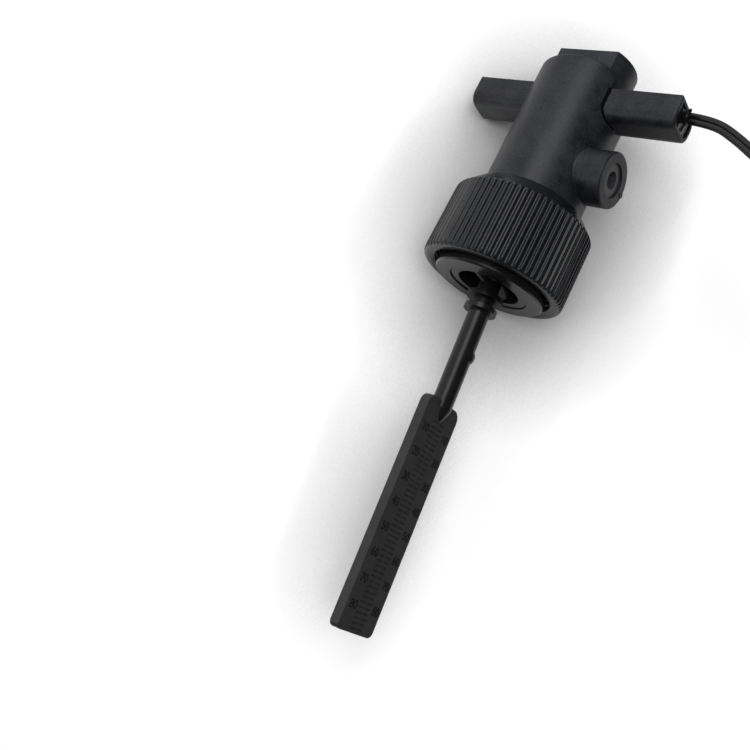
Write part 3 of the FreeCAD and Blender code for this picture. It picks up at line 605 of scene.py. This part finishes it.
# Union nut: a ribbed wall between a rounded rim and a smooth shoulder, with the thread inside
NUT_LOW = 2.5
NUT_HIGH = 39.4
NUT_BORE = 25.0
NUT_MOUTH = 0.8
NUT_RADIUS = 29.6
NUT_FLARE = 0.5
NUT_BLEND = 0.5
NUT_RIM_ROUND = 2.6
NUT_RIM_FACE = 28.3
NUT_RIM_PROUD = 0.1
NUT_RIM_STEPS = 10
NUT_SHOULDER = 32.2
NUT_SHOULDER_PROUD = 0.15
NUT_CONE_START = -0.2
NUT_CONE_RADIUS = 22.7
NUT_EDGE_IN = 0.1
NUT_EDGE_DOWN = 0.25
NUT_LIP_RADIUS = 21.4
NUT_LIP_LOW = 31.1
NUT_LIP_BEVEL = 0.2
# Rows of the wall above its rim: the first height, the gap and the number of rows
NUT_ROWS = [
    (NUT_LOW + NUT_RIM_ROUND + 0.5, 0.5, 4),
    (8.5, 2.0, 10),
    (28.6, 0.35, 18),
    (35.2, 1.2, 4),
]
# Radius and height of the smooth rings below and above the wall
NUT_MOUTH_RINGS = [(NUT_BORE, NUT_LOW + NUT_MOUTH), (NUT_BORE + NUT_MOUTH, NUT_LOW)]
NUT_TOP_RINGS = [
    (NUT_CONE_RADIUS - NUT_EDGE_IN, NUT_HIGH),
    (NUT_LIP_RADIUS + NUT_LIP_BEVEL, NUT_HIGH),
    (NUT_LIP_RADIUS, NUT_HIGH - NUT_LIP_BEVEL),
    (NUT_LIP_RADIUS, NUT_LIP_LOW),
    (NUT_BORE, NUT_LIP_LOW),
]
RIB_COUNT = 67
RIB_SEGMENTS = 16
RIB_DEPTH = 0.95
RIB_SHARPNESS = 1.7
RIB_START = math.radians(0.5)
THREAD_PITCH = 2.3
THREAD_DEPTH = 1.1
THREAD_FADE = 1.5
THREAD_ROWS = 85
THREAD_COLUMNS = 96


def rib_height(share):
    """Height of a rib from 1 on its back to 0 in the groove, share going from -1 to 1 across it."""
    wave = math.tanh(RIB_SHARPNESS * math.cos(math.pi * share))
    return 0.5 + 0.5 * wave / math.tanh(RIB_SHARPNESS)


def soft_least(first, second, blend):
    """The lesser of two, with the corner between them rounded."""
    share = max(blend - abs(first - second), 0.0) / blend
    return min(first, second) - share * share * blend / 4


def nut_back(height):
    """Radius of the ribs' backs, which flare towards the rim."""
    return NUT_RADIUS + NUT_FLARE * (NUT_SHOULDER - height) / (NUT_SHOULDER - NUT_LOW)


def nut_limit(height):
    """The smooth outline that the ribs run out into at the rim and at the shoulder."""
    above = (height - NUT_LOW) / NUT_RIM_ROUND
    if above < 1:
        rim = nut_back(height) + NUT_RIM_PROUD - NUT_RIM_FACE
        return NUT_RIM_FACE + rim * math.sqrt(1 - (1 - above) ** 2)
    widest = NUT_RADIUS + NUT_SHOULDER_PROUD
    cone = (height - NUT_SHOULDER) / (NUT_HIGH - NUT_SHOULDER)
    return widest - (widest - NUT_CONE_RADIUS) * max(cone, NUT_CONE_START)


def nut_heights():
    """Heights of the rows up the wall, which stand closer at its rim and at its shoulder."""
    heights = []
    for step in range(NUT_RIM_STEPS + 1):
        heights.append(NUT_LOW + NUT_RIM_ROUND * (1 - math.cos(math.pi / 2 * step / NUT_RIM_STEPS)))
    for first, gap, count in NUT_ROWS:
        heights += [first + gap * row for row in range(count)]
    heights.append(NUT_HIGH - NUT_EDGE_DOWN)
    return heights


def add_nut():
    angles = []
    grooves = []
    for rib in range(RIB_COUNT):
        for segment in range(RIB_SEGMENTS):
            share = 2 * segment / RIB_SEGMENTS - 1
            angles.append(RIB_START + FULL_TURN * (rib + (share + 1) / 2) / RIB_COUNT)
            grooves.append(RIB_DEPTH * (1 - rib_height(share)))
    columns = len(angles)
    rows = [[ring] * columns for ring in NUT_MOUTH_RINGS]
    for height in nut_heights():
        limit = nut_limit(height)
        back = nut_back(height)
        rows.append([(soft_least(back - groove, limit, NUT_BLEND), height) for groove in grooves])
    rows += [[ring] * columns for ring in NUT_TOP_RINGS]
    points = []
    for row in rows:
        for angle, (radius, height) in zip(angles, row):
            points.append((radius * math.cos(angle), radius * math.sin(angle), height))
    nut = add_mesh("ribbed_nut", points, ring_faces(len(rows), columns), FINISHES["nut"])
    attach(nut, "nut")
    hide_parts("union_nut")


def add_nut_thread():
    """The thread in the nut's bore, cut back from the crests that the solid shows."""
    low = NUT_LOW + NUT_MOUTH
    points = []
    for row in range(THREAD_ROWS):
        height = low + (NUT_LIP_LOW - low) * row / (THREAD_ROWS - 1)
        faded = smoothstep(0, THREAD_FADE, min(height - low, NUT_LIP_LOW - height))
        for column in range(THREAD_COLUMNS):
            phase = height / THREAD_PITCH - column / THREAD_COLUMNS
            radius = NUT_BORE + THREAD_DEPTH * (1 - abs(2 * (phase % 1) - 1)) * faded
            angle = FULL_TURN * column / THREAD_COLUMNS
            points.append((radius * math.cos(angle), radius * math.sin(angle), height))
    faces = [face[::-1] for face in ring_faces(THREAD_ROWS, THREAD_COLUMNS)]
    thread = add_mesh("nut_thread", points, faces, FINISHES["nut"])
    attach(thread, "nut")


# Resin: the cast surface in the tube's end, drawn up at the wall and round the lead, and a drop of it
RESIN_FACE = 47.6
RESIN_MIDDLE = (-2.7, 83.0)
RESIN_HALF = (6.7, 4.2)
RESIN_ROUND = 3.2
RESIN_RINGS = 34
RESIN_SIDES = 120
RESIN_CORE = 0.004
RESIN_GAP = 0.01
RESIN_SKIRT = 0.2
RESIN_LIFT = 0.1
RESIN_DOME = 0.5
WALL_RISE = 0.35
WALL_REACH = 0.4
COLLAR_RISE = 1.6
COLLAR_RADIUS = 2.0
COLLAR_SPREAD = 0.6
RIPPLE_RISE = 0.3
RIPPLE_RATE = 0.45
RIPPLE_LAYER = 3.1
REACH_HALVINGS = 40
RESIN_DROP = Vector((48.35, -2.2, 88.75))
DROP_RADIUS = 0.7
DROP_RINGS = 9
DROP_SIDES = 16
DROP_SAG = 1.15
DROP_SWELL = 0.1
DROP_RATE = 1.3


def rounded_reach(angle):
    """How far the tube's opening reaches at an angle; its corner at the front of the top is sharp."""
    direction = Vector((math.cos(angle), math.sin(angle)))
    low = 0.0
    high = sum(RESIN_HALF)
    for _ in range(REACH_HALVINGS):
        reach = (low + high) / 2
        spot = direction * reach
        out_y = max(abs(spot.x) - RESIN_HALF[0] + RESIN_ROUND, 0)
        out_z = max(abs(spot.y) - RESIN_HALF[1] + RESIN_ROUND, 0)
        sharp = spot.x < 0 < spot.y
        if (max(out_y, out_z) if sharp else math.hypot(out_y, out_z)) < RESIN_ROUND:
            low = reach
        else:
            high = reach
    return low


def resin_height(y, z, wall_gap, share):
    """Height of the cast face over the solid's, where share goes from 0 in the middle to 1 at the wall."""
    domed = RESIN_DOME * (1 - share * share)
    drawn_up = WALL_RISE * math.exp(-wall_gap / WALL_REACH)
    round_lead = math.hypot(y - LEAD_EXIT[1], z - LEAD_EXIT[2])
    collar = COLLAR_RISE * math.exp(-max(round_lead - COLLAR_RADIUS, 0) ** 2 / COLLAR_SPREAD)
    ripple = RIPPLE_RISE * noise.noise(Vector((y * RIPPLE_RATE, z * RIPPLE_RATE, RIPPLE_LAYER)))
    return RESIN_LIFT + domed + drawn_up + collar + ripple


def add_resin():
    points = []
    for ring in range(RESIN_RINGS + 1):
        share = math.sin(math.pi / 2 * ring / RESIN_RINGS) if ring else RESIN_CORE
        for side in range(RESIN_SIDES):
            angle = FULL_TURN * side / RESIN_SIDES
            reach = rounded_reach(angle) - RESIN_GAP
            y = RESIN_MIDDLE[0] + math.cos(angle) * reach * share
            z = RESIN_MIDDLE[1] + math.sin(angle) * reach * share
            points.append((RESIN_FACE + resin_height(y, z, reach * (1 - share), share), y, z))
    for side in range(RESIN_SIDES):
        _, y, z = points[RESIN_RINGS * RESIN_SIDES + side]
        points.append((RESIN_FACE - RESIN_SKIRT, y, z))
    faces = ring_faces(RESIN_RINGS + 2, RESIN_SIDES)
    faces.append(tuple(range(RESIN_SIDES))[::-1])
    add_drop(points, faces)
    resin = add_mesh("resin_surface", points, faces, FINISHES["resin"])
    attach(resin, "housing")


def add_drop(points, faces):
    """A drop of resin left on the tube's upper edge, sagging over its end."""
    first = len(points)
    for ring in range(DROP_RINGS):
        tilt = math.pi * (ring + 0.5) / DROP_RINGS
        for side in range(DROP_SIDES):
            angle = FULL_TURN * side / DROP_SIDES
            level = math.sin(tilt)
            out = Vector((level * math.cos(angle), level * math.sin(angle), math.cos(tilt)))
            swell = 1 + DROP_SWELL * noise.noise(out * DROP_RATE)
            points.append(RESIN_DROP + Vector((out.x, out.y, out.z * DROP_SAG)) * DROP_RADIUS * swell)
    faces += [face[::-1] for face in ring_faces(DROP_RINGS, DROP_SIDES, first=first)]
    faces.append(tuple(range(first, first + DROP_SIDES)))
    faces.append(tuple(range(len(points) - DROP_SIDES, len(points)))[::-1])


# Corner where the lead's tube grows out of the body, with a dull black strip laid in it as painted shade of
# the crease
ROOT_RADIUS = 20.9
ROOT_WIDTH = 0.75
ROOT_FRONT = -11.2
ROOT_TOP = 89.0
ROOT_LOW = 77.0
ROOT_ROUND = 5.0
ROOT_REAR = 0.8
ROOT_STEPS = 24
ROOT_COLUMNS = 5
ROOT_THINNING = 0.45
ROOT_THINNING_SPAN = (0.25, 0.75)
ROOT_UNEVEN = 0.25
ROOT_RATE = 0.6
ROOT_LAYER = 1.7
ROOT_HOLLOW = 0.45
ROOT_PROUD = 0.03
ROOT_TUBE_DEPTH = 0.1
ROOT_BODY_DEPTH = 0.2


def root_outline():
    """Points down the tube's front and round and along its underside, each with the way out of the wall."""
    outline = []
    turn_y = ROOT_FRONT + ROOT_ROUND
    turn_z = ROOT_LOW + ROOT_ROUND
    for step in range(ROOT_STEPS + 1):
        outline.append((ROOT_FRONT, ROOT_TOP + (turn_z - ROOT_TOP) * step / ROOT_STEPS, -1.0, 0.0))
    for step in range(1, ROOT_STEPS + 1):
        angle = math.pi + math.pi / 2 * step / ROOT_STEPS
        out_y = math.cos(angle)
        out_z = math.sin(angle)
        outline.append((turn_y + ROOT_ROUND * out_y, turn_z + ROOT_ROUND * out_z, out_y, out_z))
    for step in range(1, ROOT_STEPS + 1):
        outline.append((turn_y + (ROOT_REAR - turn_y) * step / ROOT_STEPS, ROOT_LOW, 0.0, -1.0))
    return outline


def add_tube_root():
    points = []
    outline = root_outline()
    for index, (y, z, out_y, out_z) in enumerate(outline):
        swell = 1 - ROOT_THINNING * smoothstep(*ROOT_THINNING_SPAN, index / len(outline))
        uneven = 1 + ROOT_UNEVEN * noise.noise(Vector((y * ROOT_RATE, z * ROOT_RATE, ROOT_LAYER)))
        width = ROOT_WIDTH * swell * uneven
        hollow = width * ROOT_HOLLOW
        corner_x = math.sqrt(ROOT_RADIUS ** 2 - y ** 2)
        for along, out in ((width, -ROOT_TUBE_DEPTH), (width, ROOT_PROUD), (hollow, hollow)):
            points.append((corner_x + along, y + out_y * out, z + out_z * out))
        away_y = y + out_y * width
        away_z = z + out_z * width
        wall_x = math.sqrt(ROOT_RADIUS ** 2 - away_y ** 2)
        points.append((wall_x + ROOT_PROUD, away_y, away_z))
        points.append((wall_x - ROOT_BODY_DEPTH, away_y, away_z))
    faces = []
    for row in range(len(outline) - 1):
        for column in range(ROOT_COLUMNS - 1):
            first = row * ROOT_COLUMNS + column
            faces.append((first, first + 1, first + ROOT_COLUMNS + 1, first + ROOT_COLUMNS))
    # The strip stands for the shade in the corner: painted shade
    root_shade = add_mesh("tube_root", points, faces, FINISHES["root_shade"])
    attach(root_shade, "housing")


# Nose of the stem, which runs out on the blade's face
NOSE_STRAIGHT = 57.9
NOSE_END = 63.4
NOSE_RADIUS = 4.31
NOSE_TIP = 1.95
NOSE_POWER = 0.8
NOSE_STEPS = 12
NOSE_SIDES = 48
NOSE_STRAIGHT_ROWS = (BLADE_TOP + 0.1, BLADE_TOP + 1.5, NOSE_STRAIGHT - 0.3)


def add_stem_nose():
    rings = [(NOSE_RADIUS, drop) for drop in NOSE_STRAIGHT_ROWS]
    for step in range(NOSE_STEPS + 1):
        share = step / NOSE_STEPS
        radius = NOSE_TIP + (NOSE_RADIUS - NOSE_TIP) * (1 - share) ** NOSE_POWER
        rings.append((radius, NOSE_STRAIGHT + (NOSE_END - NOSE_STRAIGHT) * share))
    points = []
    for radius, drop in rings:
        for side in range(NOSE_SIDES):
            angle = FULL_TURN * side / NOSE_SIDES
            across = BLADE_OUT * math.cos(angle) + Vector((0, math.sin(angle), 0))
            points.append(PIVOT + BLADE_DOWN * drop + across * radius)
    faces = ring_faces(len(rings), NOSE_SIDES)
    faces.append(tuple(range(len(points) - NOSE_SIDES, len(points))))
    nose = add_mesh("stem_nose", points, faces, FINISHES["paddle"])
    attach(nose, "swing")


# Ruler on the blade: numbers in two columns, with ticks between them
RULER_FIRST = -62.45
RULER_STEP = 10.0
RULER_ROWS = 8
NUMBER_COLUMNS = (-7.6, 8.1)
NUMBER_SIZE = 4.9
NUMBER_RESOLUTION = 4
MARK_RISE = 0.12
TICK_COLUMNS = (-2.25, 2.25)
TICK_FIRST = RULER_FIRST + 4
TICK_COUNT = 42
TICK_STEP = 2.0
# Half length, half width and height of a tick at its foot and at its top
TICK_LEVELS = ((1.8, 0.32, -0.02), (1.74, 0.25, MARK_RISE))


def on_blade(y, z, rise=0.0):
    return PIVOT + BLADE_OUT * (BLADE_FACE + rise) + BLADE_DOWN * (PIVOT.z - z) + Vector((0, y, 0))


def number_mesh(number):
    """Points and faces of a number lying flat, in millimetres, centred on its own place."""
    data = bpy.data.curves.new("number", "FONT")
    data.body = str(number)
    data.size = NUMBER_SIZE
    data.align_x = "CENTER"
    data.align_y = "CENTER"
    data.extrude = MARK_RISE
    data.resolution_u = NUMBER_RESOLUTION
    text = bpy.data.objects.new("number", data)
    scene.collection.objects.link(text)
    mesh = bpy.data.meshes.new_from_object(text)
    points = [vertex.co.copy() for vertex in mesh.vertices]
    faces = [tuple(polygon.vertices) for polygon in mesh.polygons]
    bpy.data.objects.remove(text)
    bpy.data.curves.remove(data)
    bpy.data.meshes.remove(mesh)
    return points, faces


def add_ruler_numbers():
    points = []
    faces = []
    for row in range(RULER_ROWS):
        drop = RULER_FIRST - RULER_STEP * row
        flat, shape = number_mesh(int(RULER_STEP) * (row + 1))
        for column in NUMBER_COLUMNS:
            first = len(points)
            points += [on_blade(column + point.x, drop + point.y, point.z) for point in flat]
            faces += [tuple(first + corner for corner in face) for face in shape]
    numbers = add_mesh("ruler_numbers", points, faces, FINISHES["numbers"], smooth=False)
    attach(numbers, "swing")


def add_ruler_ticks():
    points = []
    faces = []
    for tick in range(TICK_COUNT):
        for column in TICK_COLUMNS:
            add_tick(points, faces, column, TICK_FIRST - tick * TICK_STEP)
    ticks = add_mesh("ruler_ticks", points, faces, FINISHES["ticks"], smooth=False)
    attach(ticks, "swing")


def add_tick(points, faces, y, z):
    """A bar with sloping flanks."""
    first = len(points)
    for half_long, half_wide, rise in TICK_LEVELS:
        for across, along in SQUARE:
            points.append(on_blade(y + across * half_long, z + along * half_wide, rise))
    sides = len(SQUARE)
    top = first + sides
    faces.append(tuple(range(top, top + sides)))
    for corner in range(sides):
        following = (corner + 1) % sides
        faces.append((first + corner, first + following, top + following, top + corner))


# Stage: a white sweep behind the object, soft lamps, and a room that is light on the upper left
STAGE_BEARING = math.radians(34.8)
STAGE_NORMAL = Vector((math.sin(STAGE_BEARING), -math.cos(STAGE_BEARING), 0))
STAGE_DROP = 30.3
STAGE_HALF = 200
# The sweep's paint and glow darken with its occlusion near the object: a painted shadow
STAGE_SHADED_PAINT = [(0.60, 0.20), (0.78, 0.57)]
STAGE_GLOW = 0.60
STAGE_MIRRORED = 0.22
STAGE_SHADE_REACH = 55 * MM
STAGE_SHADES = [
    (0.30, 0.05),
    (0.45, 0.33),
    (0.64, 0.32),
    (0.80, 0.27),
    (0.85, 0.35),
    (0.89, 0.56),
    (0.93, 0.88),
    (0.96, 1.0),
]
ROOM_LIGHT = 0.72
ROOM_DARK = 0.05
ROOM_FADE = (0.1, 0.9)
LIGHT_SIDE = (IMAGE_RIGHT * -0.60 + IMAGE_UP * 0.77 + TOWARDS * 0.20).normalized()


def greys(stops):
    return [(place, (tone, tone, tone)) for place, tone in stops]


def stage_material():
    """White that darkens near the object as a painted shadow, and is clear from behind and to shadow rays.
    """
    material = bpy.data.materials.new("white_sweep")
    material.use_nodes = True
    stage = Nodes(material.node_tree)
    stage.tree.nodes.clear()
    nearby = stage.node("ShaderNodeAmbientOcclusion", Distance=STAGE_SHADE_REACH)
    nearby.samples = SHADE_SAMPLES
    openness = nearby.outputs["AO"]
    mirrored = stage.math("MULTIPLY", stage.ray_is("Glossy"), STAGE_MIRRORED)
    seen = stage.ray_is("Camera", "Transmission")
    strength = stage.math("MULTIPLY_ADD", seen, STAGE_GLOW, mirrored)
    shaded_paint = stage.node("ShaderNodeBsdfDiffuse", Color=stage.ramp(openness, *greys(STAGE_SHADED_PAINT)))
    glow = stage.node("ShaderNodeEmission", Color=stage.ramp(openness, *greys(STAGE_SHADES)))
    stage.feed(glow.inputs["Strength"], strength)
    lit = stage.node("ShaderNodeAddShader")
    stage.feed(lit.inputs[0], shaded_paint.outputs["BSDF"])
    stage.feed(lit.inputs[1], glow.outputs["Emission"])
    clear = stage.node("ShaderNodeBsdfTransparent")
    behind = stage.node("ShaderNodeNewGeometry").outputs["Backfacing"]
    sided = stage.node("ShaderNodeMixShader", Fac=stage.math("MAXIMUM", behind, stage.ray_is("Shadow")))
    stage.feed(sided.inputs[1], lit.outputs["Shader"])
    stage.feed(sided.inputs[2], clear.outputs["BSDF"])
    stage.node("ShaderNodeOutputMaterial", Surface=sided.outputs["Shader"])
    return material


def add_stage():
    middle = STAGE_NORMAL * -STAGE_DROP
    side = UP.cross(STAGE_NORMAL)
    corners = []
    for across, along in SQUARE:
        corners.append(middle + (side * across + UP * along) * STAGE_HALF)
    add_mesh("white_sweep", corners, [(0, 1, 2, 3)], stage_material(), smooth=False)


def add_world():
    world = bpy.data.worlds.new("room")
    scene.world = world
    world.use_nodes = True
    room = Nodes(world.node_tree)
    direction = room.node("ShaderNodeTexCoord").outputs["Generated"]
    fade = room.between(room.along(direction, LIGHT_SIDE), ROOM_DARK, ROOM_LIGHT, *ROOM_FADE)
    seen = room.ray_is("Camera", "Transmission")
    strength = room.node("ShaderNodeMix", Factor=seen, A=fade, B=1.0)
    background = room.tree.nodes["Background"]
    background.inputs["Color"].default_value = (1, 1, 1, 1)
    room.feed(background.inputs["Strength"], strength.outputs["Result"])


LAMPS = [
    # name, metres right, up and towards the camera, width, height, watts, seen in reflections
    ("key", -0.10, 0.70, 0.97, 0.7, 0.7, 3.6, True),
    ("front", 0.0, 0.05, 1.20, 0.5, 0.5, 7.0, False),
    ("left", -1.10, -0.15, 0.40, 0.4, 0.4, 0.8, True),
    ("rear", -0.75, -0.18, -1.11, 0.6, 0.6, 7.0, True),
]


def add_lamps():
    for name, right, up, near, width, height, watts, reflected in LAMPS:
        data = bpy.data.lights.new(name, "AREA")
        data.shape = "RECTANGLE"
        data.size = width
        data.size_y = height
        data.energy = watts
        place = IMAGE_RIGHT * right + IMAGE_UP * up + TOWARDS * near
        lamp = bpy.data.objects.new(name, data)
        back = place.normalized()
        side = IMAGE_UP.cross(back).normalized()
        lamp.matrix_world = facing(place, side, back.cross(side), back)
        lamp.visible_glossy = reflected
        scene.collection.objects.link(lamp)


add_camera()
dress_nodes()
add_lead()
add_nut()
add_nut_thread()
add_resin()
add_tube_root()
add_stem_nose()
add_ruler_numbers()
add_ruler_ticks()
add_stage()
add_world()
add_lamps()
